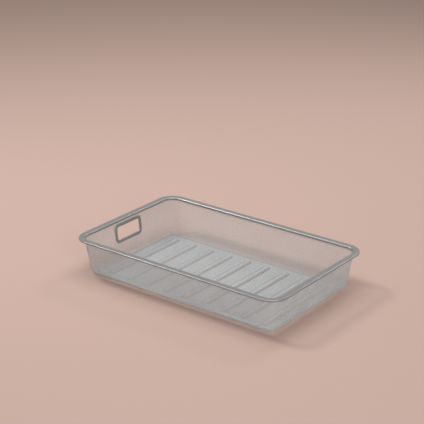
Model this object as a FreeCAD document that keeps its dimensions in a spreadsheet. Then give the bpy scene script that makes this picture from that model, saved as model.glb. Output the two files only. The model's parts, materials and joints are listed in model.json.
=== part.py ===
import FreeCAD, Part
import math
import os
import Sketcher

# Drawer basket: a tray of fine steel mesh in a channel-section steel rim, with a framed
# hand hole in one end wall. Millimetres, +Z up. The origin is the middle of the footprint,
# on the surface that the basket stands on. X runs along the length, and the hand hole is
# in the end wall at -X.
#
# The real mesh has some 26 000 openings. Here it is a coarse net, of diamonds in the walls
# and of long hexagons in the floor, with every other form at its real size.

DRIVING_SIZES = (
    # The whole basket
    ("length", 540.0, "rim, outside, along X"),
    ("width", 343.0, "rim, outside, along Y"),
    ("height", 86.0, "foot to the top of the rim"),
    # The rim, a channel of bent strip
    ("rim_width", 14.8, "outer face to inner face"),
    ("rim_sheet", 1.0, "thickness of the strip"),
    ("outer_lip", 3.4, "depth of the lip that faces outwards"),
    ("inner_lip", 5.2, "depth of the lip inside the basket"),
    ("outer_bend", 1.5, "outside radius of the bend to the outer lip"),
    ("inner_bend", 2.6, "outside radius of the bend to the inner lip"),
    ("rim_corner", 40.0, "outside corner radius in plan"),
    # The mesh tray
    ("mesh_sheet", 1.2, "overall thickness of the mesh"),
    ("foot_inset", 22.5, "foot of the wall in from the rim, drawn sharp"),
    ("foot_bend", 15.5, "outside radius between wall and floor"),
    # The pressed ribs of the floor
    ("rib_pitch", 51.3, "from rib to rib, with as many as the floor has room for"),
    ("rib_width", 12.6, "at the floor"),
    ("rib_end", 17.8, "end of a rib to the bend of the foot"),
    ("rib_height", 3.0, "above the floor"),
    ("rib_slope", 35.0, "flank, degrees off upright"),
    # The net of openings
    ("strand", 2.4, "mesh left between two openings"),
    ("wall_cell_long", 22.2, "cell of the net in a wall, along the wall"),
    ("wall_cell_high", 20.0, "cell of the net in a wall, upwards"),
    ("floor_cell", 24.0, "from opening to opening in the floor, along a rib"),
    # The frame of the hand hole
    ("frame_long", 90.0, "outside, along the wall"),
    ("frame_high", 45.0, "outside, up the wall"),
    ("frame_band", 7.5, "width of the band round the hole"),
    ("frame_corner", 11.5, "outside corner radius"),
    ("frame_sheet", 0.8, "thickness of its sheet"),
    ("frame_edge", 0.4, "bevel of its edges"),
    ("frame_drop", 9.5, "top of the rim to the frame, down the wall"),
    ("fit", 0.3, "gap between the cut mesh and the web of the frame"),
)

doc = FreeCAD.newDocument("mesh_basket")
sizes = doc.addObject("Spreadsheet::Sheet", "Sizes")
for row, (word, value, meaning) in enumerate(DRIVING_SIZES, start=1):
    sizes.set(f"A{row}", meaning)
    sizes.set(f"B{row}", str(value))
    sizes.setAlias(f"B{row}", word)
doc.recompute()

# Lines that the pieces share. The wall leans from the foot, drawn sharp, to the mouth,
# where it stands upright behind the inner lip of the rim.

MOUTH_INSET = "(Sizes.rim_width - Sizes.rim_sheet - Sizes.mesh_sheet)"
MOUTH_HEIGHT = "(Sizes.height - Sizes.inner_lip)"
LEAN_RUN = f"(Sizes.foot_inset - {MOUTH_INSET})"
LEAN = f"atan({LEAN_RUN} / {MOUTH_HEIGHT})"
WALL_SLANT = f"sqrt({LEAN_RUN}^2 + {MOUTH_HEIGHT}^2)"
# The inner face of the wall, where it would meet the top of the floor
FLOOR_INSET = (
    f"(Sizes.foot_inset + Sizes.mesh_sheet * ({WALL_SLANT} - {LEAN_RUN}) / {MOUTH_HEIGHT})"
)
INNER_LEAN_RUN = f"({FLOOR_INSET} - {MOUTH_INSET} - Sizes.mesh_sheet)"
INNER_LEAN = f"atan({INNER_LEAN_RUN} / ({MOUTH_HEIGHT} - Sizes.mesh_sheet))"
# Corner radius of the mesh in plan, where it stands inside the rim
CORNER = f"(Sizes.rim_corner - {MOUTH_INSET})"
# The foot bend runs out into the floor and, at the same length, into the wall
BEND_RUN = f"(Sizes.foot_bend * tan((90 deg - {LEAN}) / 2))"
BEND_TOP = f"({BEND_RUN} * cos({LEAN}))"
FLOOR_LONG = f"(Sizes.length - 2 * Sizes.foot_inset - 2 * {BEND_RUN})"
FLOOR_WIDE = f"(Sizes.width - 2 * Sizes.foot_inset - 2 * {BEND_RUN})"
# The middle of the hand hole on the outer face of the wall
GRIP_DOWN = "(Sizes.frame_drop + Sizes.frame_high / 2)"
GRIP_HEIGHT = f"(Sizes.height - {GRIP_DOWN} * {MOUTH_HEIGHT} / {WALL_SLANT})"
GRIP_INSET = f"(Sizes.foot_inset - {LEAN_RUN} * {GRIP_HEIGHT} / {MOUTH_HEIGHT})"
GRIP_X = f"({GRIP_INSET} - Sizes.length / 2)"
# What the frame leaves free
HOLE_LONG = "(Sizes.frame_long - 2 * Sizes.frame_band)"
HOLE_HIGH = "(Sizes.frame_high - 2 * Sizes.frame_band)"
HOLE_CORNER = "(Sizes.frame_corner - Sizes.frame_band)"

# Helpers


def worth(expression):
    """The number that an expression on the sheet gives now."""
    return float(sizes.evalExpression(expression))


def origin_item(body, role):
    """One of a body's own origin planes or axes, by its role."""
    return next(item for item in body.Origin.OriginFeatures if item.Role == role)


def new_sketch(body, name, role, across="0", up="0", lift="0"):
    """A sketch on an origin plane, moved within that plane and lifted off it."""
    sketch = body.newObject("Sketcher::SketchObject", name)
    sketch.AttachmentSupport = (origin_item(body, role), [""])
    sketch.MapMode = "FlatFace"
    sketch.setExpression("AttachmentOffset.Base.x", across)
    sketch.setExpression("AttachmentOffset.Base.y", up)
    sketch.setExpression("AttachmentOffset.Base.z", lift)
    return sketch


def new_feature(body, kind, name, bound=None, **settings):
    """A PartDesign feature with its settings, and those of them bound to the sheet."""
    feature = body.newObject(f"PartDesign::{kind}", name)
    for setting, value in settings.items():
        setattr(feature, setting, value)
    for setting, expression in (bound or {}).items():
        feature.setExpression(setting, expression)
    body.Tip = feature
    doc.recompute()
    return feature


def dimension(sketch, name, expression, kind, *where):
    """Adds a dimension to a sketch and ties it to the sheet."""
    number = sketch.addConstraint(Sketcher.Constraint(kind, *where, worth(expression)))
    sketch.renameConstraint(number, name)
    sketch.setExpression(f"Constraints.{name}", expression)


def draw_outline(sketch, corners):
    """Draws a closed outline anticlockwise through corners (x, y, radius).

    Returns the line that leaves each corner, and the arc at each rounded one. Lines and
    arcs are tied end to end and tangent, and level and upright lines stay so.
    """
    points = [FreeCAD.Vector(x, y, 0) for x, y, radius in corners]
    count = len(points)
    ways = [(points[(i + 1) % count] - points[i]).normalize() for i in range(count)]
    turns = [ways[i - 1].getAngle(ways[i]) for i in range(count)]
    runs = [corners[i][2] * math.tan(turns[i] / 2) for i in range(count)]
    lines = []
    for i in range(count):
        following = (i + 1) % count
        start = points[i] + ways[i] * runs[i]
        end = points[following] - ways[i] * runs[following]
        lines.append(sketch.addGeometry(Part.LineSegment(start, end), False))
    arcs = {}
    for i, (x, y, radius) in enumerate(corners):
        before, after = lines[i - 1], lines[i]
        if radius:
            left = 1 if ways[i - 1].cross(ways[i]).z > 0 else -1
            start = points[i] - ways[i - 1] * runs[i]
            end = points[i] + ways[i] * runs[i]
            inward = FreeCAD.Vector(-ways[i - 1].y, ways[i - 1].x, 0) * (radius * left)
            centre = start + inward
            angles = [math.atan2(p.y - centre.y, p.x - centre.x) for p in (start, end)]
            circle = Part.Circle(centre, FreeCAD.Vector(0, 0, 1), radius)
            arcs[i] = sketch.addGeometry(Part.ArcOfCircle(circle, *angles[::left]), False)
            first, last = (1, 2) if left > 0 else (2, 1)
            sketch.addConstraint(Sketcher.Constraint("Tangent", before, 2, arcs[i], first))
            sketch.addConstraint(Sketcher.Constraint("Tangent", arcs[i], last, after, 1))
        else:
            sketch.addConstraint(Sketcher.Constraint("Coincident", before, 2, after, 1))
        if abs(ways[i].y) < 1e-9:
            sketch.addConstraint(Sketcher.Constraint("Horizontal", after))
        elif abs(ways[i].x) < 1e-9:
            sketch.addConstraint(Sketcher.Constraint("Vertical", after))
    return lines, arcs


def draw_rounded_rectangle(sketch, length, width, radius, name=""):
    """A rounded rectangle about the sketch's origin, its sizes given as expressions."""
    half_length = worth(length) / 2
    half_width = worth(width) / 2
    corner = worth(radius)
    lines, arcs = draw_outline(
        sketch,
        [
            (half_length, half_width, corner),
            (-half_length, half_width, corner),
            (-half_length, -half_width, corner),
            (half_length, -half_width, corner),
        ],
    )
    for other in (1, 2, 3):
        sketch.addConstraint(Sketcher.Constraint("Equal", arcs[0], arcs[other]))
    sketch.addConstraint(Sketcher.Constraint("Symmetric", arcs[0], 3, arcs[2], 3, -1, 1))
    dimension(sketch, f"{name}length", length, "DistanceX", lines[1], 1, lines[3], 1)
    dimension(sketch, f"{name}width", width, "DistanceY", lines[2], 1, lines[0], 1)
    dimension(sketch, f"{name}radius", radius, "Radius", arcs[0])


def draw_rectangle(sketch, length, width):
    """A plain rectangle about the sketch's origin, its sizes given as expressions."""
    half_length = worth(length) / 2
    half_width = worth(width) / 2
    lines, arcs = draw_outline(
        sketch,
        [
            (half_length, half_width, 0),
            (-half_length, half_width, 0),
            (-half_length, -half_width, 0),
            (half_length, -half_width, 0),
        ],
    )
    sketch.addConstraint(Sketcher.Constraint("Symmetric", lines[0], 1, lines[2], 1, -1, 1))
    dimension(sketch, "length", length, "DistanceX", lines[1], 1, lines[3], 1)
    dimension(sketch, "width", width, "DistanceY", lines[2], 1, lines[0], 1)


def draw_slot(sketch, length, width):
    """A round-ended slot along Y about the sketch's origin."""
    half_width = worth(width) / 2
    end = FreeCAD.Vector(0, worth(length) / 2 - half_width, 0)
    aside = FreeCAD.Vector(half_width, 0, 0)
    axis = FreeCAD.Vector(0, 0, 1)
    far_circle = Part.Circle(end, axis, half_width)
    near_circle = Part.Circle(-end, axis, half_width)
    right = sketch.addGeometry(Part.LineSegment(aside - end, aside + end), False)
    far = sketch.addGeometry(Part.ArcOfCircle(far_circle, 0, math.pi), False)
    left = sketch.addGeometry(Part.LineSegment(end - aside, -end - aside), False)
    near = sketch.addGeometry(Part.ArcOfCircle(near_circle, math.pi, 2 * math.pi), False)
    for one, other in ((right, far), (far, left), (left, near), (near, right)):
        sketch.addConstraint(Sketcher.Constraint("Tangent", one, 2, other, 1))
    sketch.addConstraint(Sketcher.Constraint("Vertical", right))
    sketch.addConstraint(Sketcher.Constraint("Symmetric", far, 3, near, 3, -1, 1))
    dimension(sketch, "run", f"{length} - ({width})", "DistanceY", near, 3, far, 3)
    dimension(sketch, "radius", f"({width}) / 2", "Radius", far)


def draw_diamond(sketch, wide, high):
    """A diamond about the sketch's origin."""
    half_wide = worth(wide) / 2
    half_high = worth(high) / 2
    tips = ((half_wide, 0, 0), (0, half_high, 0), (-half_wide, 0, 0), (0, -half_high, 0))
    (right, top, left, bottom), arcs = draw_outline(sketch, tips)
    sketch.addConstraint(Sketcher.Constraint("Symmetric", right, 1, left, 1, -1, 1))
    sketch.addConstraint(Sketcher.Constraint("Symmetric", top, 1, bottom, 1, -1, 1))
    sketch.addConstraint(Sketcher.Constraint("PointOnObject", right, 1, -1))
    sketch.addConstraint(Sketcher.Constraint("PointOnObject", top, 1, -2))
    dimension(sketch, "wide", wide, "DistanceX", left, 1, right, 1)
    dimension(sketch, "high", high, "DistanceY", bottom, 1, top, 1)


def draw_hexagon(sketch, wide, high, flat):
    """A hexagon about the sketch's origin, with flats above and below and tips at the sides."""
    half_wide = worth(wide) / 2
    half_high = worth(high) / 2
    half_flat = worth(flat) / 2
    lines, arcs = draw_outline(
        sketch,
        [
            (half_wide, 0, 0),
            (half_flat, half_high, 0),
            (-half_flat, half_high, 0),
            (-half_wide, 0, 0),
            (-half_flat, -half_high, 0),
            (half_flat, -half_high, 0),
        ],
    )
    sketch.addConstraint(Sketcher.Constraint("Symmetric", lines[0], 1, lines[3], 1, -1, 1))
    sketch.addConstraint(Sketcher.Constraint("Symmetric", lines[1], 1, lines[4], 1, -1, 1))
    sketch.addConstraint(Sketcher.Constraint("PointOnObject", lines[0], 1, -1))
    sketch.addConstraint(Sketcher.Constraint("Equal", lines[1], lines[4]))
    sketch.addConstraint(Sketcher.Constraint("Equal", lines[0], lines[2]))
    dimension(sketch, "wide", wide, "DistanceX", lines[3], 1, lines[0], 1)
    dimension(sketch, "high", high, "DistanceY", lines[4], 1, lines[1], 1)
    dimension(sketch, "flat", flat, "DistanceX", lines[1], 2, lines[1], 1)


def spanning(feature, kind, low, high):
    """Names of a feature's faces or edges that reach from one height exactly to another."""
    found = []
    for number, item in enumerate(getattr(feature.Shape, f"{kind}s"), start=1):
        box = item.BoundBox
        if abs(box.ZMin - low) < 1e-4 and abs(box.ZMax - high) < 1e-4:
            found.append(f"{kind}{number}")
    return found


# The mesh tray: a block drafted to a pan, hollowed to the thickness of the mesh, with its
# corners and its foot rounded. An upright band stands on its mouth, inside the rim.

tray = doc.addObject("PartDesign::Body", "mesh_tray")
floor_top = worth("Sizes.mesh_sheet")
mouth_height = worth(MOUTH_HEIGHT)

foot = new_sketch(tray, "Foot", "XY_Plane")
draw_rectangle(foot, "Sizes.length - 2 * Sizes.foot_inset", "Sizes.width - 2 * Sizes.foot_inset")
inner_foot = new_sketch(tray, "InnerFoot", "XY_Plane", lift="Sizes.mesh_sheet")
draw_rectangle(inner_foot, f"Sizes.length - 2 * {FLOOR_INSET}", f"Sizes.width - 2 * {FLOOR_INSET}")
doc.recompute()

block = new_feature(tray, "Pad", "Block", Profile=foot, bound={"Length": MOUTH_HEIGHT})
outer_lean = new_feature(
    tray,
    "Draft",
    "OuterLean",
    Base=(block, spanning(block, "Face", 0, mouth_height)),
    NeutralPlane=(block, spanning(block, "Face", 0, 0)),
    Reversed=True,
    bound={"Angle": LEAN},
)
hollow = new_feature(
    tray, "Pocket", "Hollow", Profile=inner_foot, Type="ThroughAll", Reversed=True
)
inner_lean = new_feature(
    tray,
    "Draft",
    "InnerLean",
    Base=(hollow, spanning(hollow, "Face", floor_top, mouth_height)),
    NeutralPlane=(hollow, spanning(hollow, "Face", floor_top, floor_top)),
    bound={"Angle": INNER_LEAN},
)
inner_corners = new_feature(
    tray,
    "Fillet",
    "InnerCorners",
    Base=(inner_lean, spanning(inner_lean, "Edge", floor_top, mouth_height)),
    bound={"Radius": f"({CORNER} - Sizes.mesh_sheet) * cos({INNER_LEAN})"},
)
outer_corners = new_feature(
    tray,
    "Fillet",
    "OuterCorners",
    Base=(inner_corners, spanning(inner_corners, "Edge", 0, mouth_height)),
    bound={"Radius": f"{CORNER} * cos({LEAN})"},
)
band = new_feature(
    tray,
    "Pad",
    "UprightBand",
    Profile=(outer_corners, spanning(outer_corners, "Face", mouth_height, mouth_height)),
    bound={"Length": "Sizes.inner_lip - Sizes.inner_bend"},
)
inner_bend = new_feature(
    tray,
    "Fillet",
    "InnerBend",
    Base=(band, spanning(band, "Edge", floor_top, floor_top)),
    bound={"Radius": "Sizes.foot_bend - Sizes.mesh_sheet"},
)
outer_bend = new_feature(
    tray,
    "Fillet",
    "OuterBend",
    Base=(inner_bend, spanning(inner_bend, "Edge", 0, 0)),
    bound={"Radius": "Sizes.foot_bend"},
)
# The ribs are pressed up from below, so each is a ridge with a channel under it

RIB_COUNT = f"floor({FLOOR_LONG} / Sizes.rib_pitch)"
RIB_LONG = f"({FLOOR_WIDE} - 2 * Sizes.rib_end)"
FIRST_RIB = f"(-({RIB_COUNT} - 1) / 2 * Sizes.rib_pitch)"
RIB_WALL = "(Sizes.mesh_sheet * tan(45 - Sizes.rib_slope / 2))"

rib_outline = new_sketch(tray, "RibOutline", "XY_Plane", FIRST_RIB, lift="Sizes.mesh_sheet")
draw_slot(rib_outline, RIB_LONG, "Sizes.rib_width")
channel_outline = new_sketch(tray, "ChannelOutline", "XY_Plane", FIRST_RIB)
draw_slot(channel_outline, f"{RIB_LONG} - 2 * {RIB_WALL}", f"Sizes.rib_width - 2 * {RIB_WALL}")
doc.recompute()
rib = new_feature(
    tray,
    "Pad",
    "Rib",
    Profile=rib_outline,
    bound={"Length": "Sizes.rib_height", "TaperAngle": "-Sizes.rib_slope"},
)
channel = new_feature(
    tray,
    "Pocket",
    "Channel",
    Profile=channel_outline,
    Reversed=True,
    bound={"Length": "Sizes.rib_height", "TaperAngle": "-Sizes.rib_slope"},
)
new_feature(
    tray,
    "LinearPattern",
    "Ribs",
    Originals=[rib, channel],
    Direction=(rib_outline, ["H_Axis"]),
    Mode="Spacing",
    bound={"Occurrences": RIB_COUNT, "Offset": "Sizes.rib_pitch"},
)

# The hand hole is cut square to the leaning wall at -X, a little larger than the web of
# the frame that goes round it

hole = new_sketch(tray, "HandHole", "YZ_Plane", up=GRIP_HEIGHT, lift=GRIP_X)
hole.AttachmentOffset = FreeCAD.Placement(
    hole.AttachmentOffset.Base, FreeCAD.Rotation(FreeCAD.Vector(-1, 0, 0), worth(LEAN))
)
hole.setExpression("AttachmentOffset.Rotation.Angle", LEAN)
draw_rounded_rectangle(
    hole,
    f"{HOLE_LONG} + 2 * (Sizes.frame_sheet + Sizes.fit)",
    f"{HOLE_HIGH} + 2 * (Sizes.frame_sheet + Sizes.fit)",
    f"{HOLE_CORNER} + Sizes.frame_sheet + Sizes.fit",
)
doc.recompute()
new_feature(
    tray,
    "Pocket",
    "HandHoleCut",
    Profile=hole,
    SideType="Symmetric",
    bound={"Length": "8 * Sizes.mesh_sheet"},
)

# The net of openings. The prisms that cut it are built up in bodies of their own, one for
# each way of looking through the tray, and are then cut from the tray all at once.


def add_openings(cutter, name, plane, corner, draw, opening, steps, counts, lift, reach, **how):
    """Adds a grid of prisms to a cutter.

    corner, steps and counts are pairs of expressions, along the sketch's X and its Y: the
    middle of the first opening, the spacing and the number. draw draws one opening of the
    sizes in opening. lift is where the prisms start, off the plane, and reach is their
    length.
    """
    if worth(counts[0]) < 1 or worth(counts[1]) < 1:
        return
    sketch = new_sketch(cutter, f"{name}Opening", plane, *corner, lift=lift)
    draw(sketch, *opening)
    doc.recompute()
    prism = new_feature(
        cutter, "Pad", f"{name}Prism", Profile=sketch, bound={"Length": reach}, **how
    )
    new_feature(
        cutter,
        "LinearPattern",
        name,
        Originals=[prism],
        Direction=(sketch, ["H_Axis"]),
        Direction2=(sketch, ["V_Axis"]),
        bound={
            "Occurrences": counts[0],
            "Length": f"{steps[0]} * max(1; {counts[0]} - 1)",
            "Occurrences2": counts[1],
            "Length2": f"{steps[1]} * max(1; {counts[1]} - 1)",
        },
    )


# Each opening is its cell less a strand, measured square to the strand
WALL_CELL_EDGE = "sqrt(Sizes.wall_cell_long^2 + Sizes.wall_cell_high^2)"
WALL_SHARE = (
    f"(1 - Sizes.strand * {WALL_CELL_EDGE} / (Sizes.wall_cell_long * Sizes.wall_cell_high))"
)
WALL_OPENING = (f"Sizes.wall_cell_long * {WALL_SHARE}", f"Sizes.wall_cell_high * {WALL_SHARE}")
WALL_STEPS = ("Sizes.wall_cell_long", "Sizes.wall_cell_high")
WALL_ROWS = f"floor(({MOUTH_HEIGHT} - {BEND_TOP}) / Sizes.wall_cell_high)"
WALL_MIDDLE = f"(({MOUTH_HEIGHT} + {BEND_TOP}) / 2)"


def wall_columns(outside):
    """The columns that the straight part of a wall has room for."""
    straight = f"({outside} - 2 * Sizes.foot_inset - 2 * {CORNER})"
    return f"floor(({straight} + 2 * Sizes.strand) / Sizes.wall_cell_long)"


def add_wall_net(cutter, name, plane, columns, middle, start, behind):
    """The net of a wall: full rows, and between them staggered rows of one less.

    The prisms start at a distance from the plane, before it or behind it, and go outwards.
    """
    for word, fewer in (("Full", 0), ("Staggered", 1)):
        add_openings(
            cutter,
            f"{name}{word}",
            plane,
            (
                f"{middle} - ({columns} - 1 - {fewer}) / 2 * Sizes.wall_cell_long",
                f"{WALL_MIDDLE} - ({WALL_ROWS} - 1 - {fewer}) / 2 * Sizes.wall_cell_high",
            ),
            draw_diamond,
            WALL_OPENING,
            WALL_STEPS,
            (f"{columns} - {fewer}", f"{WALL_ROWS} - {fewer}"),
            f"-{start}" if behind else start,
            "2 * Sizes.foot_inset",
            Reversed=behind,
        )


END_COLUMNS = wall_columns("Sizes.width")
END_HALF = f"({END_COLUMNS} * Sizes.wall_cell_long / 2)"
GRIP_ROOM = f"({END_HALF} - Sizes.frame_long / 2 - Sizes.strand)"
GRIP_COLUMNS = f"floor({GRIP_ROOM} / Sizes.wall_cell_long)"
GRIP_MIDDLE = f"({END_HALF} - {GRIP_COLUMNS} * Sizes.wall_cell_long / 2)"

SIDE_COLUMNS = wall_columns("Sizes.length")
SIDE_START = "(Sizes.width / 2 - 2 * Sizes.foot_inset)"
END_START = "(Sizes.length / 2 - 2 * Sizes.foot_inset)"

side_cutter = doc.addObject("PartDesign::Body", "side_cutter")
add_wall_net(side_cutter, "Near", "XZ_Plane", SIDE_COLUMNS, "0", SIDE_START, False)
add_wall_net(side_cutter, "Far", "XZ_Plane", SIDE_COLUMNS, "0", SIDE_START, True)

end_cutter = doc.addObject("PartDesign::Body", "end_cutter")
add_wall_net(end_cutter, "End", "YZ_Plane", END_COLUMNS, "0", END_START, False)
add_wall_net(end_cutter, "GripLeft", "YZ_Plane", GRIP_COLUMNS, GRIP_MIDDLE, END_START, True)
add_wall_net(
    end_cutter, "GripRight", "YZ_Plane", GRIP_COLUMNS, f"-{GRIP_MIDDLE}", END_START, True
)

# One column of openings in each land between two ribs, and one outside the last rib
FLOOR_ROWS = f"floor({FLOOR_WIDE} / Sizes.floor_cell)"
FIRST_ROW = f"(-({FLOOR_ROWS} - 1) / 2 * Sizes.floor_cell)"
LAND = "(Sizes.rib_pitch - Sizes.rib_width)"
LAST_FLANK = f"(Sizes.rib_width / 2 - {FIRST_RIB})"
END_LAND = f"({FLOOR_LONG} / 2 - {LAST_FLANK})"
END_MIDDLE = f"(({FLOOR_LONG} / 2 + {LAST_FLANK}) / 2)"


def floor_opening(land):
    """The sizes of an opening that fills a land, less a strand all round."""
    wide = f"({land} - 2 * Sizes.strand)"
    return wide, "Sizes.floor_cell - Sizes.strand", f"0.6 * {wide}"


floor_cutter = doc.addObject("PartDesign::Body", "floor_cutter")
add_openings(
    floor_cutter,
    "Land",
    "XY_Plane",
    (f"{FIRST_RIB} + Sizes.rib_pitch / 2", FIRST_ROW),
    draw_hexagon,
    floor_opening(LAND),
    ("Sizes.rib_pitch", "Sizes.floor_cell"),
    (f"{RIB_COUNT} - 1", FLOOR_ROWS),
    "-Sizes.mesh_sheet",
    "3 * Sizes.mesh_sheet",
)
add_openings(
    floor_cutter,
    "EndLand",
    "XY_Plane",
    (f"-{END_MIDDLE}", FIRST_ROW),
    draw_hexagon,
    floor_opening(END_LAND),
    (f"2 * {END_MIDDLE}", "Sizes.floor_cell"),
    ("2", FLOOR_ROWS),
    "-Sizes.mesh_sheet",
    "3 * Sizes.mesh_sheet",
)

solid_volume = tray.Tip.Shape.Volume
net = tray.newObject("PartDesign::Boolean", "Net")
net.Type = "Cut"
net.Refine = False
net.addObjects([side_cutter, end_cutter, floor_cutter])
tray.Tip = net
doc.recompute()
print(f"The net takes {solid_volume - net.Shape.Volume:.0f} cubic millimetres out of the mesh")

# The rim: a channel section swept round the mouth. Its inner lip stands against the inside
# of the mesh, and the rest of it covers the cut edge of the mesh.

rim = doc.addObject("PartDesign::Body", "rim")

path = new_sketch(rim, "RimPath", "XY_Plane", lift="Sizes.height")
half_length = worth("Sizes.length / 2")
half_width = worth("Sizes.width / 2")
corner_radius = worth("Sizes.rim_corner")
lines, arcs = draw_outline(
    path,
    [
        (half_length, 0, 0),
        (half_length, half_width, corner_radius),
        (-half_length, half_width, corner_radius),
        (-half_length, -half_width, corner_radius),
        (half_length, -half_width, corner_radius),
    ],
)
path.addConstraint(Sketcher.Constraint("PointOnObject", lines[0], 1, -1))
path.addConstraint(Sketcher.Constraint("Symmetric", arcs[1], 3, arcs[3], 3, -1, 1))
for other in (2, 3, 4):
    path.addConstraint(Sketcher.Constraint("Equal", arcs[1], arcs[other]))
dimension(path, "length", "Sizes.length", "DistanceX", lines[2], 1, lines[0], 1)
dimension(path, "width", "Sizes.width", "DistanceY", lines[3], 1, lines[1], 1)
dimension(path, "radius", "Sizes.rim_corner", "Radius", arcs[1])

section = new_sketch(rim, "RimSection", "XZ_Plane")
outside = worth("Sizes.length / 2")
inside = worth("Sizes.length / 2 - Sizes.rim_width")
top = worth("Sizes.height")
sheet = worth("Sizes.rim_sheet")
lip_end = worth("Sizes.height - Sizes.outer_lip")
inner_end = worth("Sizes.height - Sizes.inner_lip")
outer_radius = worth("Sizes.outer_bend")
inner_radius = worth("Sizes.inner_bend")
lines, arcs = draw_outline(
    section,
    [
        (outside, lip_end, 0),
        (outside, top, outer_radius),
        (inside, top, inner_radius),
        (inside, inner_end, 0),
        (inside + sheet, inner_end, 0),
        (inside + sheet, top - sheet, inner_radius - sheet),
        (outside - sheet, top - sheet, outer_radius - sheet),
        (outside - sheet, lip_end, 0),
    ],
)
dimension(section, "reach", "Sizes.length / 2", "DistanceX", -1, 1, lines[0], 1)
dimension(section, "top", "Sizes.height", "DistanceY", -1, 1, lines[1], 1)
dimension(section, "width", "Sizes.rim_width", "DistanceX", lines[2], 1, lines[0], 1)
dimension(section, "outer_lip", "Sizes.outer_lip", "DistanceY", lines[0], 1, lines[1], 1)
dimension(section, "inner_lip", "Sizes.inner_lip", "DistanceY", lines[2], 2, lines[1], 1)
dimension(section, "inner_sheet", "Sizes.rim_sheet", "DistanceX", lines[3], 1, lines[3], 2)
dimension(section, "outer_sheet", "Sizes.rim_sheet", "DistanceX", lines[7], 1, lines[7], 2)
dimension(section, "top_sheet", "Sizes.rim_sheet", "DistanceY", lines[5], 1, lines[1], 1)
dimension(section, "outer_bend", "Sizes.outer_bend", "Radius", arcs[1])
dimension(section, "inner_bend", "Sizes.inner_bend", "Radius", arcs[2])
dimension(section, "inner_hollow", "Sizes.inner_bend - Sizes.rim_sheet", "Radius", arcs[5])
dimension(section, "outer_hollow", "Sizes.outer_bend - Sizes.rim_sheet", "Radius", arcs[6])
doc.recompute()
new_feature(rim, "AdditivePipe", "Rim", Profile=section, Spine=path)

# The frame of the hand hole: a ring of sheet folded over both faces of the mesh, with a web
# that lines the hole. It is drawn flat about its own origin and placed into the wall.

frame = doc.addObject("PartDesign::Body", "handle_frame")
FRAME_THICK = "(Sizes.mesh_sheet + 2 * Sizes.frame_sheet)"

ring = new_sketch(frame, "Ring", "YZ_Plane")
draw_rounded_rectangle(ring, "Sizes.frame_long", "Sizes.frame_high", "Sizes.frame_corner")
draw_rounded_rectangle(ring, HOLE_LONG, HOLE_HIGH, HOLE_CORNER, "hole_")
slot = new_sketch(frame, "Slot", "YZ_Plane")
draw_rounded_rectangle(
    slot,
    "Sizes.frame_long + Sizes.frame_band",
    "Sizes.frame_high + Sizes.frame_band",
    "Sizes.frame_corner",
)
draw_rounded_rectangle(
    slot,
    f"{HOLE_LONG} + 2 * Sizes.frame_sheet",
    f"{HOLE_HIGH} + 2 * Sizes.frame_sheet",
    f"{HOLE_CORNER} + Sizes.frame_sheet",
    "web_",
)
doc.recompute()
ring_pad = new_feature(
    frame, "Pad", "RingPad", Profile=ring, SideType="Symmetric", bound={"Length": FRAME_THICK}
)
slot_cut = new_feature(
    frame,
    "Pocket",
    "SlotCut",
    Profile=slot,
    SideType="Symmetric",
    bound={"Length": "Sizes.mesh_sheet"},
)
face_edges = []
for number, edge in enumerate(slot_cut.Shape.Edges, start=1):
    box = edge.BoundBox
    if box.XLength < 1e-6 and abs(abs(box.XMin) - worth(FRAME_THICK) / 2) < 1e-6:
        face_edges.append(f"Edge{number}")
new_feature(
    frame,
    "Chamfer",
    "FrameEdges",
    Base=(slot_cut, face_edges),
    bound={"Size": "Sizes.frame_edge"},
)
frame.Placement = FreeCAD.Placement(
    FreeCAD.Vector(), FreeCAD.Rotation(FreeCAD.Vector(0, -1, 0), worth(LEAN))
)
frame.setExpression("Placement.Rotation.Angle", LEAN)
frame.setExpression("Placement.Base.x", f"{GRIP_X} + Sizes.mesh_sheet / 2 * cos({LEAN})")
frame.setExpression("Placement.Base.z", f"{GRIP_HEIGHT} + Sizes.mesh_sheet / 2 * sin({LEAN})")
doc.recompute()

# Every object has to have come out sound before anything is written

for item in doc.Objects:
    trouble = [state for state in item.State if state in ("Invalid", "Error")]
    if trouble:
        raise RuntimeError(f"{item.Label} is {trouble[0]}")
    if item.isDerivedFrom("Sketcher::SketchObject") or item.isDerivedFrom("PartDesign::Feature"):
        if item.Shape.isNull():
            raise RuntimeError(f"{item.Label} has no shape")

os.makedirs("parts", exist_ok=True)
for body in (tray, rim, frame):
    shape = body.Shape
    if len(shape.Solids) != 1 or not shape.isValid():
        raise RuntimeError(f"{body.Label} isn't one sound solid")
    shape.exportStep(f"parts/{body.Label}.step")
    box = shape.BoundBox
    size = f"{box.XLength:.1f} x {box.YLength:.1f} x {box.ZLength:.1f}"
    print(f"{body.Label}: {size} mm, {shape.Volume:.0f} cubic millimetres")
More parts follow.
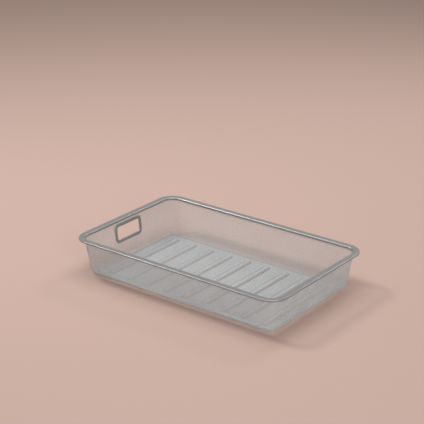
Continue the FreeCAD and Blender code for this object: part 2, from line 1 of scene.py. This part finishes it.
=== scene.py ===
# %% [markdown]
# # A mesh drawer basket
#
# The CAD model gives this basket its size and its construction, with a coarse net in place
# of the mesh. This notebook dresses it: it weaves the real, fine mesh on the same surface,
# forms the rim and the frame of the hand hole with their soft bends, and paints and lights
# them like the photograph.
#
# Everything is in the frame of the CAD model. Sizes of the basket are typed in millimetres
# and turned into metres when a mesh is made.
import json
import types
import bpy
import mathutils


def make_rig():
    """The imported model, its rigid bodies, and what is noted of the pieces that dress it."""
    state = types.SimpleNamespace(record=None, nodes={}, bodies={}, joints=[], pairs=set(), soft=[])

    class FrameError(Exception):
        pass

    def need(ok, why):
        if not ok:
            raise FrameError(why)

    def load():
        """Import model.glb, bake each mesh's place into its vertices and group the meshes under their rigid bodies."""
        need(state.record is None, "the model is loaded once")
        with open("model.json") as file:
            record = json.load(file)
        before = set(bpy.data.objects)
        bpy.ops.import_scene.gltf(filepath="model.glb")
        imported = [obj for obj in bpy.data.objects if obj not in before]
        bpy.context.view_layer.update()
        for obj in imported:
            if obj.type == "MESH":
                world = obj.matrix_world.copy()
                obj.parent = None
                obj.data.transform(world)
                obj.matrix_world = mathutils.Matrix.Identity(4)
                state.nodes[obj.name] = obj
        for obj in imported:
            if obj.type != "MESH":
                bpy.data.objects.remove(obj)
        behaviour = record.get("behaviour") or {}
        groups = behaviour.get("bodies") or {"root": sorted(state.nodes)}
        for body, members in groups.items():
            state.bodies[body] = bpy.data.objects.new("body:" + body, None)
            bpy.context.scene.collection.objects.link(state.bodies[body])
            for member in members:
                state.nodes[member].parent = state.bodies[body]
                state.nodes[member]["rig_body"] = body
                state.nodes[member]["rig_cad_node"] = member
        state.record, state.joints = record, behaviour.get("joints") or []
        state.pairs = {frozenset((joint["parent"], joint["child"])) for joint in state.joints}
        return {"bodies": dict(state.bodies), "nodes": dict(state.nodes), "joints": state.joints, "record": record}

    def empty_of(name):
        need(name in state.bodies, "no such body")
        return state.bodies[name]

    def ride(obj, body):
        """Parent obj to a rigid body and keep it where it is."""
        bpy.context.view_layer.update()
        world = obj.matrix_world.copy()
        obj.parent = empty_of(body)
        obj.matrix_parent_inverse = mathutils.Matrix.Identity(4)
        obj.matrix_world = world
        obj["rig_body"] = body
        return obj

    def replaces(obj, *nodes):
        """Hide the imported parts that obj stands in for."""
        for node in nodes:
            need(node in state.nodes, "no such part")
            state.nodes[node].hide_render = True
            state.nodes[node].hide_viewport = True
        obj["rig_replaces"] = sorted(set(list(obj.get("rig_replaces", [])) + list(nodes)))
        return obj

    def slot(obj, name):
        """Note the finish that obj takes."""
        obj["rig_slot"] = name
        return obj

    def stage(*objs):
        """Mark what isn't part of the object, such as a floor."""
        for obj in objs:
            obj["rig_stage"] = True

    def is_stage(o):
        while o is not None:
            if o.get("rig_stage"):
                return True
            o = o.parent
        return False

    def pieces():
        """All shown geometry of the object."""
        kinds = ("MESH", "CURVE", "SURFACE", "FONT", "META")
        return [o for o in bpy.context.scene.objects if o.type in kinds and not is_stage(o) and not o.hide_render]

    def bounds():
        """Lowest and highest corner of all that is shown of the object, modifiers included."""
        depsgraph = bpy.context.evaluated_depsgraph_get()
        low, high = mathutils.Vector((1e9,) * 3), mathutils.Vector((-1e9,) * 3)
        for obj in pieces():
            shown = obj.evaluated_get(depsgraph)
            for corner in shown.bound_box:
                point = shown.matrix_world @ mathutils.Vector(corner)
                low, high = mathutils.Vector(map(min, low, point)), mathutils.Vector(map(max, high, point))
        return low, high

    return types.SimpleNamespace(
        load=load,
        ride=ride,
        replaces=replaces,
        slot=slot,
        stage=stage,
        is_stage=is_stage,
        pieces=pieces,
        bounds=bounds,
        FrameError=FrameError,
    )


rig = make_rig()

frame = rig.load()
cad_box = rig.bounds()

import json
import math

import bpy
import numpy as np
from mathutils import Vector

print("nodes:", sorted(frame["nodes"]))

# %% [markdown]
# ## The shape of the sheet
#
# The mesh is one sheet, pressed to a tray. Cut the tray across anywhere and its wall has the
# same outline: flat floor, a bend of constant radius, then a straight wall that leans
# outwards. So one function gives that outline, and another carries it round the basket.
# A modelled grid could be bent by hand instead, but numbers keep it on the CAD model.
#
# `inset` is how far a point lies in from the outside of the rim.

# %% Sizes from the CAD model
MM = 0.001
LENGTH, WIDTH, HEIGHT = 540.0, 343.0, 86.0
SHEET = 1.2                                 # thickness of the sheet in the CAD model
FOOT_INSET, FOOT_BEND = 22.5, 15.5          # where the lean meets the ground; its outer bend
MOUTH_INSET, MOUTH_HEIGHT = 12.6, 80.8      # the top of the lean
CORNER = 27.4                               # radius of the tray's corners in plan
LEAN = math.atan((FOOT_INSET - MOUTH_INSET) / MOUTH_HEIGHT)
BEND_RUN = FOOT_BEND * math.tan((math.pi / 2 - LEAN) / 2)
FLAT_INSET = FOOT_INSET + BEND_RUN
RIB_PITCH, RIB_WIDTH, RIB_LENGTH, RIB_HEIGHT, RIB_COUNT = 51.3, 12.6, 235.0, 3.0, 9
LAST_RIB = RIB_COUNT // 2                   # counted from the middle rib
print(f"the wall leans {math.degrees(LEAN):.1f} degrees")
print(f"the flat floor starts {FLAT_INSET:.1f} mm in")

# %% The outline of the wall, and the corners
MIDDLE_BEND = FOOT_BEND - SHEET / 2         # the points lie in the middle of the sheet
BEND_LENGTH = MIDDLE_BEND * (math.pi / 2 - LEAN)
BEND_END_HEIGHT = FOOT_BEND - MIDDLE_BEND * math.sin(LEAN)
SHEET_TOP = 83.0                            # the edge of the mesh, hidden in the rim
WALL_LENGTH = BEND_LENGTH + (SHEET_TOP - BEND_END_HEIGHT) / math.cos(LEAN)


def wall_outline(run):
    """Inset and height at a distance up the sheet from the edge of the flat floor."""
    angle = np.minimum(run, BEND_LENGTH) / MIDDLE_BEND
    beyond = np.maximum(run - BEND_LENGTH, 0)
    inset = FLAT_INSET - MIDDLE_BEND * np.sin(angle) - beyond * math.sin(LEAN)
    height = FOOT_BEND - MIDDLE_BEND * np.cos(angle) + beyond * math.cos(LEAN)
    return inset, height


def corner_inset(height):
    """How far in the middle of a rounded corner lies: it moves out as the wall leans."""
    return FOOT_INSET + CORNER - (FOOT_INSET - MOUTH_INSET) * height / MOUTH_HEIGHT


# Each stretch of wall runs from one corner's middle to the next, or turns about one. It has
# the corners where it starts and ends, and the directions that it faces there, in degrees.
STRETCHES = {
    "near": ((-1, -1), (1, -1), -90, -90),
    "corner_near_right": ((1, -1), (1, -1), -90, 0),
    "right": ((1, -1), (1, 1), 0, 0),
    "corner_far_right": ((1, 1), (1, 1), 0, 90),
    "far": ((1, 1), (-1, 1), 90, 90),
    "corner_far_left": ((-1, 1), (-1, 1), 90, 180),
    "left": ((-1, 1), (-1, -1), 180, 180),
    "corner_near_left": ((-1, -1), (-1, -1), 180, 270),
}


def wall_points(stretch, part, run):
    """Points of the sheet, at a part (0 to 1) along a stretch and a run up the wall."""
    start, end, angle_start, angle_end = STRETCHES[stretch]
    inset, height = wall_outline(run)
    middle = corner_inset(height)
    radius = middle - inset
    angle = np.radians(angle_start + (angle_end - angle_start) * part)
    side_x = start[0] + (end[0] - start[0]) * part
    side_y = start[1] + (end[1] - start[1]) * part
    x = side_x * (LENGTH / 2 - middle) + radius * np.cos(angle)
    y = side_y * (WIDTH / 2 - middle) + radius * np.sin(angle)
    return np.stack([x, y, height], axis=-1)


print(f"{WALL_LENGTH:.1f} mm of sheet from the floor to the rim")
print(f"{BEND_LENGTH:.1f} mm of it in the bend")

# %% [markdown]
# ## The floor and its ribs
#
# The floor is a grid of cells too, flat apart from nine pressed ribs that stiffen it. A rib
# is a ridge with round ends: its height depends only on the distance to the line along its
# middle. So the ribs need no modelling: the height is added to the points of the floor.
#
# The grid is a rectangle but the flat floor has round corners, so the cells in each corner
# square are squeezed into a quarter of a disc.

# %% The floor
CORNER_CELLS = 3
SIDE_CELLS = 98
END_CELLS = 53
FLAT_X, FLAT_Y = LENGTH / 2 - FLAT_INSET, WIDTH / 2 - FLAT_INSET
RIB_CREST, RIB_FOOT = 2.6, 6.8              # between them the mesh falls in a soft curve
FLOOR_CORNER = corner_inset(SHEET / 2)
STRAIGHT_X, STRAIGHT_Y = LENGTH / 2 - FLOOR_CORNER, WIDTH / 2 - FLOOR_CORNER
FLOOR_RADIUS = FLAT_X - STRAIGHT_X          # of the flat floor's round corners


def rib_height(x, y):
    """Height of the ribs above the floor."""
    number = np.clip(np.round(x / RIB_PITCH), -LAST_RIB, LAST_RIB)
    past_end = np.maximum(np.abs(y) - (RIB_LENGTH - RIB_WIDTH) / 2, 0)
    distance = np.hypot(x - number * RIB_PITCH, past_end)
    down = np.clip((distance - RIB_CREST) / (RIB_FOOT - RIB_CREST), 0, 1)
    return RIB_HEIGHT * (1 + np.cos(np.pi * down)) / 2


def floor_points(across, along):
    """Points of the floor, for places in the grid of cells."""
    columns = [0, CORNER_CELLS, CORNER_CELLS + SIDE_CELLS, 2 * CORNER_CELLS + SIDE_CELLS]
    rows = [0, CORNER_CELLS, CORNER_CELLS + END_CELLS, 2 * CORNER_CELLS + END_CELLS]
    x = np.interp(across, columns, [-FLAT_X, -STRAIGHT_X, STRAIGHT_X, FLAT_X])
    y = np.interp(along, rows, [-FLAT_Y, -STRAIGHT_Y, STRAIGHT_Y, FLAT_Y])

    # How far into a corner square a point lies, as shares of its sides
    s = np.clip((np.abs(x) - STRAIGHT_X) / FLOOR_RADIUS, 0, 1)
    t = np.clip((np.abs(y) - STRAIGHT_Y) / FLOOR_RADIUS, 0, 1)
    round_x = np.sign(x) * (STRAIGHT_X + FLOOR_RADIUS * s * np.sqrt(1 - t * t / 2))
    round_y = np.sign(y) * (STRAIGHT_Y + FLOOR_RADIUS * t * np.sqrt(1 - s * s / 2))
    in_corner = (s > 0) & (t > 0)
    x = np.where(in_corner, round_x, x)
    y = np.where(in_corner, round_y, y)
    return np.stack([x, y, SHEET / 2 + rib_height(x, y)], axis=-1)


print(f"the flat floor is {2 * FLAT_X:.1f} x {2 * FLAT_Y:.1f} mm")
print(f"its round corners have a radius of {FLOOR_RADIUS:.1f} mm")

# %% [markdown]
# ## Weaving the mesh
#
# The mesh is a lattice of diamonds. A picture of holes on a plain sheet would be lighter,
# but has no thickness and looks flat from the side, and a Wireframe modifier gives every
# strand more faces than it needs. So the strands are worked out as numbers.
#
# A strand runs from each crossing to the four crossings diagonal to it, and between four
# strands is a hole. Each hole owns the halves of the strands round it that face it, and each
# half is two slanting faces: one up to the ridge of the strand, and one down to its
# underside. So a strand is a bar with a diamond section, which catches the light like wire
# and costs four faces.
#
# Where the sheet is pressed into ribs, a strand takes two steps from crossing to crossing, so
# that it bends with the sheet.

# %% The lattice
CELL_WIDE, CELL_HIGH = 4.55, 4.76           # each piece stretches them a little, to fit
FLOOR_STRAND, WALL_STRAND = 1.15, 0.85      # widths: the floor is stretched less
NUDGE = 0.02                                # of a cell, to find which way the sheet faces
NO_LENGTH = 1e-12                           # so that nothing is divided by zero
print(f"strands are {FLOOR_STRAND} mm wide in the floor and {WALL_STRAND} mm in the walls")


def weave(name, columns, rows, place, strand, steps=1, drop=None):
    """Makes a piece of mesh of columns x rows cells on the surface that place(u, v) gives.

    u and v count cells. A strand is as thick as it is wide, and takes that many steps from
    crossing to crossing. drop(points) tells which holes to leave out, with their strands.
    """
    level = np.mgrid[0:columns, 0:rows + 1].reshape(2, -1).T + (0.5, 0)
    upright = np.mgrid[0:columns + 1, 0:rows].reshape(2, -1).T + (0, 0.5)
    centre = np.concatenate([level, upright])
    if drop:
        centre = centre[~drop(place(*centre.T))]

    # From crossing to crossing round a hole, anticlockwise
    tips = np.array([(-0.5, 0), (0, -0.5), (0.5, 0), (0, 0.5)])
    sides = np.roll(tips, -1, axis=0) - tips
    circuit = np.concatenate([tip + side * step / steps
                              for tip, side in zip(tips, sides)
                              for step in range(steps)]).reshape(-1, 2)
    ridge = centre[:, None] + circuit
    share = 1 - strand * math.hypot(CELL_WIDE, CELL_HIGH) / (CELL_WIDE * CELL_HIGH)
    edge = centre[:, None] + circuit * share
    inside = ((ridge >= 0) & (ridge <= (columns, rows))).all(axis=2)

    # Holes share the points of a ridge, so each place on a finer grid gets one point
    finer = 2 * steps
    spots = np.rint(ridge.reshape(-1, 2) * finer).astype(int)
    spots, shared = np.unique(spots, axis=0, return_inverse=True)
    shared = shared.reshape(inside.shape)
    u, v = spots.T / finer
    point = place(u, v)
    across = place(u + NUDGE, v) - place(u - NUDGE, v)
    upward = place(u, v + NUDGE) - place(u, v - NUDGE)
    normal = np.cross(across, upward)
    normal /= np.maximum(np.linalg.norm(normal, axis=1, keepdims=True), NO_LENGTH)
    rise = normal * strand / 2
    points = np.concatenate([point + rise, point - rise, place(*edge.reshape(-1, 2).T)])

    # Two faces for each step round a hole, where both ends of it are on the piece
    top, under = shared, shared + len(point)
    own = 2 * len(point) + np.arange(inside.size).reshape(inside.shape)
    there = inside & np.roll(inside, -1, axis=1)

    def with_next(corners):
        return corners[there], np.roll(corners, -1, axis=1)[there]

    own_here, own_next = with_next(own)
    top_here, top_next = with_next(top)
    under_here, under_next = with_next(under)
    faces = np.concatenate([
        np.stack([top_here, top_next, own_next, own_here], axis=1),
        np.stack([own_here, own_next, under_next, under_here], axis=1),
    ])
    return make_piece(name, points, faces)


# %% A mesh object from numbers
def make_piece(name, points, faces):
    """A mesh object from points in millimetres and faces of four corners."""
    used, faces = np.unique(faces, return_inverse=True)
    faces = faces.reshape(-1, 4)
    points = points[used] * MM
    mesh = bpy.data.meshes.new(name)
    mesh.vertices.add(len(points))
    mesh.vertices.foreach_set("co", points.astype(np.float32).ravel())
    mesh.loops.add(faces.size)
    mesh.loops.foreach_set("vertex_index", faces.astype(np.int32).ravel())
    mesh.polygons.add(len(faces))
    mesh.polygons.foreach_set("loop_start", np.arange(0, faces.size, 4, dtype=np.int32))
    mesh.update(calc_edges=True)
    mesh.validate()
    piece = bpy.data.objects.new(name, mesh)
    bpy.context.scene.collection.objects.link(piece)
    print(f"{name}: {2 * len(faces)} triangles")
    return piece


# %% [markdown]
# ## The pieces of mesh
#
# The real mesh is one sheet. Here the floor is woven in four quarters and the walls in eight
# stretches, so that no piece is too heavy to handle. They meet on shared crossings, and the
# strands run on from one to the next. Where the frame of the hand hole will sit, the holes
# and their strands are left out.

# %% Weave the floor
QUARTER = (2 * CORNER_CELLS + SIDE_CELLS) // 4
ROWS_OF_FLOOR = 2 * CORNER_CELLS + END_CELLS
mesh_pieces = [
    weave(f"floor_mesh_{k + 1}", QUARTER, ROWS_OF_FLOOR,
          lambda u, v: floor_points(u + k * QUARTER, v), FLOOR_STRAND, steps=2)
    for k in range(4)
]

# %% Weave the walls
WALL_ROWS = 19
CELLS_ALONG = {"near": SIDE_CELLS, "far": SIDE_CELLS, "left": END_CELLS, "right": END_CELLS}
CORNER_COLUMNS = 9
FRAME_LONG, FRAME_HIGH, FRAME_BAND = 90.0, 45.0, 7.5
FRAME_DROP = 9.5                            # down the wall from the height of the rim
GRIP_HEIGHT = HEIGHT - (FRAME_DROP + FRAME_HIGH / 2) * math.cos(LEAN)


def under_frame(points):
    """Tells which holes lie inside the middle line of the frame's band."""
    up_slope = (points[:, 2] - GRIP_HEIGHT) / math.cos(LEAN)
    level = np.abs(points[:, 1]) < (FRAME_LONG - FRAME_BAND) / 2
    return level & (np.abs(up_slope) < (FRAME_HIGH - FRAME_BAND) / 2)


for stretch in STRETCHES:
    columns = CELLS_ALONG.get(stretch, CORNER_COLUMNS)
    mesh_pieces.append(weave(
        f"{stretch}_mesh", columns, WALL_ROWS,
        lambda u, v: wall_points(stretch, u / columns, v / WALL_ROWS * WALL_LENGTH),
        WALL_STRAND, drop=under_frame if stretch == "left" else None,
    ))

# %% [markdown]
# ## Rim and frame
#
# The rim is a strip of sheet steel, formed to a channel and bent round the mouth. The frame
# is a pressed ring, crimped over the edge of the hand hole. A curve with a bevel object could
# draw both, but the corners would need care. Here both are a section carried round a rounded
# rectangle, which one function does for the two.
#
# A section is a closed line of points, each with its inset from the outer edge and its
# height, and its corners are rounded by replacing each with a short arc.

# %% The section of the rim
BEND_STEPS = 6                              # in the arc at a corner


def rounded(corners):
    """Points of a closed outline, with an arc at each corner (inset, height, radius)."""
    line = []
    for k, (x, y, radius) in enumerate(corners):
        here = np.array([x, y])
        if not radius:
            line.append(here)
            continue
        back = np.array(corners[k - 1][:2]) - here
        ahead = np.array(corners[(k + 1) % len(corners)][:2]) - here
        back, ahead = back / np.linalg.norm(back), ahead / np.linalg.norm(ahead)
        half_angle = math.acos(np.clip(back @ ahead, -1, 1)) / 2
        reach = radius / math.tan(half_angle)
        between = (back + ahead) / np.linalg.norm(back + ahead)
        centre = here + between * radius / math.sin(half_angle)
        first, last = here + back * reach - centre, here + ahead * reach - centre
        turn = math.atan2(first[0] * last[1] - first[1] * last[0], first @ last)
        for step in range(BEND_STEPS + 1):
            a = turn * step / BEND_STEPS
            line.append(centre + np.array([first[0] * math.cos(a) - first[1] * math.sin(a),
                                           first[0] * math.sin(a) + first[1] * math.cos(a)]))
    return np.array(line)


RIM_SECTION = rounded([
    (0, 82.6, 0), (1.0, 82.6, 0), (1.0, 85.0, 0.5), (13.8, 85.0, 1.6), (13.8, 80.8, 0),
    (14.8, 80.8, 0), (14.8, 86.0, 2.6), (0, 86.0, 1.5),
])
print(f"the section of the rim has {len(RIM_SECTION)} points")

# %% Carry it round the mouth
RIM_CORNER, RIM_TURN_STEPS = 40.0, 20
SHARP_ANGLE = math.radians(40)


def ring(name, section, half_x, half_y, corner, turn_steps, to_space):
    """Carries a section round a rounded rectangle. to_space turns flat places into points."""
    turns = []
    for quarter, (side_x, side_y) in enumerate(((1, 1), (-1, 1), (-1, -1), (1, -1))):
        for step in range(turn_steps + 1):
            angle = math.radians(90 * (quarter + step / turn_steps))
            turns.append((side_x * (half_x - corner), side_y * (half_y - corner),
                          math.cos(angle), math.sin(angle)))
    turns = np.array(turns)
    radius = corner - section[:, 0]
    x = turns[:, :1] + turns[:, 2:3] * radius
    y = turns[:, 1:2] + turns[:, 3:] * radius
    z = np.broadcast_to(section[:, 1], x.shape)
    points = to_space(x.ravel(), y.ravel(), z.ravel())

    turn_count, count = x.shape
    turn, spot = np.indices(x.shape)
    next_turn, next_spot = (turn + 1) % turn_count, (spot + 1) % count
    faces = np.stack([turn * count + spot, turn * count + next_spot,
                      next_turn * count + next_spot, next_turn * count + spot], axis=-1)
    piece = make_piece(name, points, faces)
    piece.data.shade_smooth()
    piece.data.set_sharp_from_angle(angle=SHARP_ANGLE)
    return piece


rim = ring("rim_channel", RIM_SECTION, LENGTH / 2, WIDTH / 2, RIM_CORNER, RIM_TURN_STEPS,
           lambda x, y, z: np.stack([x, y, z], axis=-1))

# %% The frame of the hand hole
FRAME_CORNER, FRAME_TURN_STEPS = 11.5, 12
GRIP_INSET = FOOT_INSET - (FOOT_INSET - MOUTH_INSET) * GRIP_HEIGHT / MOUTH_HEIGHT
SLOPE = np.array([-math.sin(LEAN), 0, math.cos(LEAN)])
INWARD = np.array([math.cos(LEAN), 0, math.sin(LEAN)])
GRIP = np.array([GRIP_INSET - LENGTH / 2, 0, GRIP_HEIGHT]) + INWARD * SHEET / 2


def in_wall(x, y, z):
    """Points on the leaning wall at -X: x along it, y up it and z into the basket."""
    level = np.stack([np.zeros_like(x), x, np.zeros_like(x)], axis=-1)
    return GRIP + level + y[:, None] * SLOPE + z[:, None] * INWARD


FRAME_SECTION = rounded([
    (0, -1.4, 0.9), (FRAME_BAND, -1.4, 1.1), (FRAME_BAND, 1.4, 1.1), (0, 1.4, 0.9),
])
grip_frame = ring("grip_frame", FRAME_SECTION, FRAME_LONG / 2, FRAME_HIGH / 2,
                  FRAME_CORNER, FRAME_TURN_STEPS, in_wall)

# %% [markdown]
# ## Coats of paint
#
# Mesh, rim and frame have a grey coat baked on. It is even, with a faint mottle. On the mesh the
# colour is also darkened by painted shade along the creases. A plain colour would do for the rim,
# but the mottle keeps a large surface from looking dead. The painted shade could be put on an
# image. Worked out from the sizes of the ribs and the floor, it follows the mesh
# exactly, and needs no image.
#
# Shader maths is easier to read as sums than as nodes, so `Wire` holds an output of a node
# and turns `+`, `-`, `*` and `/` into Math nodes.

# %% A class for shader maths
class Wire:
    """An output of a shader node that can be calculated with, or just a tree to start in."""

    def __init__(self, tree, socket=None):
        self.tree = tree
        self.socket = socket

    def feed(self, target):
        """Connects this output to the input of a node."""
        self.tree.links.new(self.socket, target)

    def node(self, kind, settings=None, sockets=None, output=0):
        """Adds any node and returns one of its outputs.

        The settings are set first. Then its sockets, by name or number, get values or wires.
        """
        made = self.tree.nodes.new(kind)
        for name, value in (settings or {}).items():
            setattr(made, name, value)
        for place, value in (sockets or {}).items():
            if isinstance(value, Wire):
                value.feed(made.inputs[place])
            else:
                made.inputs[place].default_value = value
        return Wire(self.tree, made.outputs[output])

    def maths(self, operation, *values):
        """Adds a Math node that works on these values, in this order."""
        return self.node("ShaderNodeMath", {"operation": operation}, dict(enumerate(values)))

    def __add__(self, other):
        return self.maths("ADD", self, other)

    def __radd__(self, other):
        return self.maths("ADD", other, self)

    def __sub__(self, other):
        return self.maths("SUBTRACT", self, other)

    def __rsub__(self, other):
        return self.maths("SUBTRACT", other, self)

    def __mul__(self, other):
        return self.maths("MULTIPLY", self, other)

    def __rmul__(self, other):
        return self.maths("MULTIPLY", other, self)

    def __truediv__(self, other):
        return self.maths("DIVIDE", self, other)

    def __rtruediv__(self, other):
        return self.maths("DIVIDE", other, self)

    def __abs__(self):
        return self.maths("ABSOLUTE", self)

    def __round__(self):
        return self.maths("ROUND", self)

    def at_least(self, low):
        return self.maths("MAXIMUM", self, low)

    def at_most(self, high):
        return self.maths("MINIMUM", self, high)


# %% Painted shade in the creases
# Painted shade: the mesh's colour is darkened in a line round the foot of each rib and round the edge of the flat
# floor.
PAINTED_SHADE_DEPTH = 0.6               # share of the colour that is lost in the middle of a crease
RIB_CREASE_OUT = 1.0            # the crease round a rib lies this far outside its foot
RIB_CREASE_REACH = 1.8          # where the shade has faded, either side
FLOOR_CREASE_REACH = 1.3
FLOOR_ZONE = 4                  # above this height is wall, which has no crease


def distance_from_origin(x, y):
    squares = x * x + y * y
    return squares.maths("POWER", squares, 0.5)


def crease(off, reach):
    """The painted shade at a distance off the middle of a crease."""
    return PAINTED_SHADE_DEPTH * (1 - abs(off) / reach).at_least(0)


def painted_crease_shade(place):
    """The painted shade at a place: a crease runs round each rib, and one round the floor."""
    x, y, z = (place.node("ShaderNodeSeparateXYZ", None, {"Vector": place}, axis) / MM
               for axis in range(3))
    number = round(x / RIB_PITCH).at_most(LAST_RIB).at_least(-LAST_RIB)
    past_end = (abs(y) - (RIB_LENGTH - RIB_WIDTH) / 2).at_least(0)
    from_rib = distance_from_origin(x - RIB_PITCH * number, past_end)
    from_corner = distance_from_origin((abs(x) - STRAIGHT_X).at_least(0),
                                       (abs(y) - STRAIGHT_Y).at_least(0))
    on_floor = z.maths("LESS_THAN", z, FLOOR_ZONE)
    return (crease(from_rib - RIB_FOOT - RIB_CREASE_OUT, RIB_CREASE_REACH)
            + on_floor * crease(from_corner - FLOOR_RADIUS, FLOOR_CREASE_REACH))


# %% The coats
BROAD_MOTTLE = {"Scale": 55.0, "Detail": 3.0}       # patches of some 2 cm
FINE_MOTTLE = {"Scale": 900.0, "Detail": 2.0}       # specks of about 1 mm
BROAD_SHARE, FINE_SHARE = 0.7, 0.3


def coat(name, dark, light, metallic, roughness, shade=None):
    """A baked coat with a mottle from dark to light.

    shade(place) gives the painted shade: how much of the colour is darkened at a place.
    """
    material = bpy.data.materials.new(name)
    material.use_nodes = True
    shader = material.node_tree.nodes["Principled BSDF"]
    start = Wire(material.node_tree)
    place = start.node("ShaderNodeTexCoord", output="Object")
    broad = start.node("ShaderNodeTexNoise", sockets={"Vector": place, **BROAD_MOTTLE})
    fine = start.node("ShaderNodeTexNoise", sockets={"Vector": place, **FINE_MOTTLE})
    colour = start.node("ShaderNodeMix", {"data_type": "RGBA"}, {
        "Factor": BROAD_SHARE * broad + FINE_SHARE * fine,
        "A": (*dark, 1),
        "B": (*light, 1),
    }, output="Result")
    if shade:
        colour = start.node("ShaderNodeVectorMath", {"operation": "SCALE"},
                            {"Vector": colour, "Scale": 1 - shade(place)})
    colour.feed(shader.inputs["Base Color"])
    shader.inputs["Roughness"].default_value = roughness
    shader.inputs["Metallic"].default_value = metallic
    print(f"{name}: {len(material.node_tree.nodes)} nodes")
    return material


# The mesh coat carries the painted shade in its creases.
mesh_coat = coat("mesh_coat", (0.53, 0.555, 0.565), (0.62, 0.645, 0.655),
                 metallic=0.3, roughness=0.4, shade=painted_crease_shade)
rim_coat = coat("rim_coat", (0.3, 0.3, 0.3), (0.36, 0.36, 0.36), metallic=0.6, roughness=0.28)
frame_coat = coat("frame_coat", (0.3, 0.3, 0.298), (0.36, 0.36, 0.357),
                  metallic=0.6, roughness=0.3)

# %% Paint the pieces and fasten them to the frame
for piece in mesh_pieces:
    piece.data.materials.append(mesh_coat)
    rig.slot(piece, "mesh")
    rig.replaces(piece, "mesh_tray")
    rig.ride(piece, "root")
for piece, paint, slot, node in ((rim, rim_coat, "rim", "rim"),
                                 (grip_frame, frame_coat, "frame", "handle_frame")):
    piece.data.materials.append(paint)
    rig.slot(piece, slot)
    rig.replaces(piece, node)
    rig.ride(piece, "root")
print(f"{len(mesh_pieces) + 2} pieces painted")

# %% [markdown]
# ## The set
#
# A plain pale floor and four soft lights: a large one overhead, a weaker one just right of
# the camera, and two small ones, on the left and at the back, that draw the bright lines
# along the rim. One large light would do for the mesh, but leaves the rim dull. The world
# lights the shadows. The camera stands where the photograph was taken from, worked out from
# the straight edges of the basket. Here all places are in metres.

# %% Floor
FLOOR_SIZE = 30
bpy.ops.mesh.primitive_plane_add(size=FLOOR_SIZE, location=(0, 0, 0))
ground = bpy.context.object
ground.name = "ground"
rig.stage(ground)
ground_paint = bpy.data.materials.new("ground")
ground_paint.use_nodes = True
ground_shader = ground_paint.node_tree.nodes["Principled BSDF"]
ground_shader.inputs["Base Color"].default_value = (0.46, 0.327, 0.28, 1)
ground_shader.inputs["Roughness"].default_value = 0.9
ground_shader.inputs["Specular IOR Level"].default_value = 0.2
ground.data.materials.append(ground_paint)
print(f"a floor of {FLOOR_SIZE} m square")

# %% Lights and world
MIDDLE = Vector((0, 0, 0))


def soft_light(name, place, size, power):
    """A square area light that faces the middle of the floor."""
    data = bpy.data.lights.new(name, "AREA")
    data.size = size
    data.energy = power
    light = bpy.data.objects.new(name, data)
    light.location = place
    light.rotation_euler = (MIDDLE - Vector(place)).to_track_quat("-Z", "Y").to_euler()
    bpy.context.scene.collection.objects.link(light)
    print(f"light {name}: {size} m wide, {power} W")


soft_light("top", (-0.2, 0.15, 2.6), 2.4, 47)
soft_light("side", (1.9, -1.5, 1.1), 1.0, 18)
soft_light("edge_left", (-1.5, -0.3, 2.0), 0.5, 22)
soft_light("edge_back", (0.0, 1.9, 1.6), 0.5, 9)

world = bpy.data.worlds.new("studio")
bpy.context.scene.world = world
world.use_nodes = True
background = world.node_tree.nodes["Background"]
background.inputs["Color"].default_value = (1, 0.97, 0.95, 1)
background.inputs["Strength"].default_value = 0.36

# %% Camera
camera_data = bpy.data.cameras.new("camera")
camera_data.sensor_width = 36
camera_data.lens = 110.94
camera = bpy.data.objects.new("camera", camera_data)
camera.location = (1.54688, -2.07913, 1.19752)
camera.rotation_euler = [math.radians(angle) for angle in (68.1537, -0.3495, 37.0722)]
bpy.context.scene.collection.objects.link(camera)
bpy.context.scene.camera = camera
bpy.context.scene.view_settings.view_transform = "Standard"
print(f"the camera is {camera.location.length:.2f} m away")

# %% [markdown]
# ## The size
#
# The boxes of the CAD model and of the dressed basket are written to extents.json and printed.

# %% Finish
visual_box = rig.bounds()
sizes = {
    "cad": [[float(v) for v in corner] for corner in cad_box],
    "visual": [[float(v) for v in corner] for corner in visual_box],
}
with open("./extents.json", "w") as file:
    json.dump(sizes, file)
print("box of the CAD model:", sizes["cad"])
print("box of the dressed basket:", sizes["visual"])
